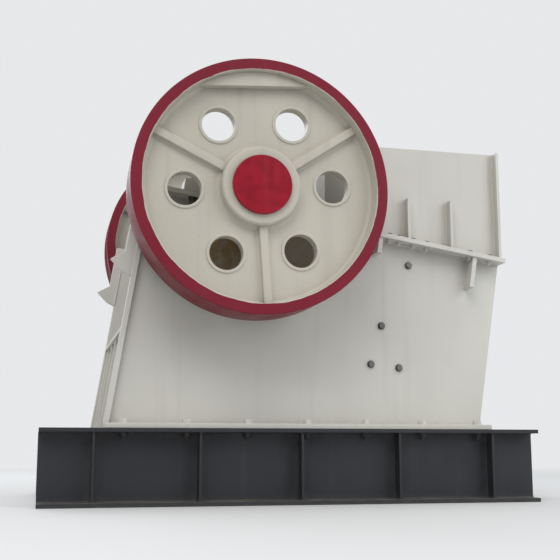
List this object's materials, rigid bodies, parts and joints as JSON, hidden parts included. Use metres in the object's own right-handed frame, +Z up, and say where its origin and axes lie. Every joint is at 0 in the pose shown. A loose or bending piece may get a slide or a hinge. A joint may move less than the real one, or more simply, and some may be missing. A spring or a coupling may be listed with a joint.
{
  "type": "jaw crusher",
  "caption": "Single-toggle jaw crusher with ribbed leaning body, twin flywheels on an eccentric shaft, ridged jaw plates, feed chute and base frame.",
  "frame": {"origin": "on the floor under the middle of the base frame", "axes": "+Z up, +X towards the feed end, eccentric shaft along Y with the flywheel that faces the picture on the -Y side"},
  "size_m": [3.1, 2.3, 2.6846],
  "materials": {
    "cream_paint": "satin, dusty",
    "crimson_paint": "satin",
    "red_paint": "gloss",
    "slate_paint": "satin",
    "bare_steel": "machined, oiled",
    "cast_steel": "rough cast"
  },
  "bodies": {
    "frame": {"base_beam_near": "slate_paint", "base_beam_far": "slate_paint", "cross_beam_front": "slate_paint", "cross_beam_rear": "slate_paint", "side_plate_near": "cream_paint", "side_plate_far": "cream_paint", "front_wall": "cream_paint", "front_wall_ribs": "cream_paint", "rear_wall": "cream_paint", "bearing_housing_near": "cream_paint", "bearing_housing_far": "cream_paint", "bearing_cover_near": "cream_paint", "bearing_cover_far": "cream_paint", "fixed_jaw_plate": "cast_steel", "fixed_jaw_wedge": "cast_steel", "cheek_plate_near": "cast_steel", "cheek_plate_far": "cast_steel", "toggle_beam": "cream_paint", "toggle_seat": "cast_steel", "adjusting_wedges": "bare_steel", "toggle_plate": "cast_steel", "tension_rods": "bare_steel", "tension_springs": "crimson_paint", "chute_side_near": "cream_paint", "chute_side_far": "cream_paint", "chute_back_plate": "cream_paint", "chute_front_lip": "cream_paint", "rear_bracket_near": "cream_paint", "rear_bracket_far": "cream_paint"},
    "rotor": {"eccentric_shaft": "bare_steel", "flywheel_near": "cream_paint", "flywheel_far": "cream_paint", "counterweight_near": "cream_paint", "counterweight_far": "cream_paint", "hub_cap_near": "red_paint", "hub_cap_far": "red_paint"},
    "jaw": {"swing_jaw": "cream_paint", "swing_jaw_plate": "cast_steel", "swing_jaw_wedge": "cast_steel"}
  },
  "joints": [
    {"name": "shaft_spin", "type": "hinge", "parent": "frame", "child": "rotor", "pos_m": [-0.3, 0, 1.89484], "axis": [0, 1, 0], "continuous": true},
    {"name": "jaw_on_eccentric", "type": "hinge", "parent": "rotor", "child": "jaw", "pos_m": [-0.29895, 0, 1.87988], "axis": [0, 1, 0], "continuous": true}
  ],
  "couplings": [
    {"joint": "jaw_on_eccentric", "follows": "shaft_spin", "ratio": -1}
  ]
}
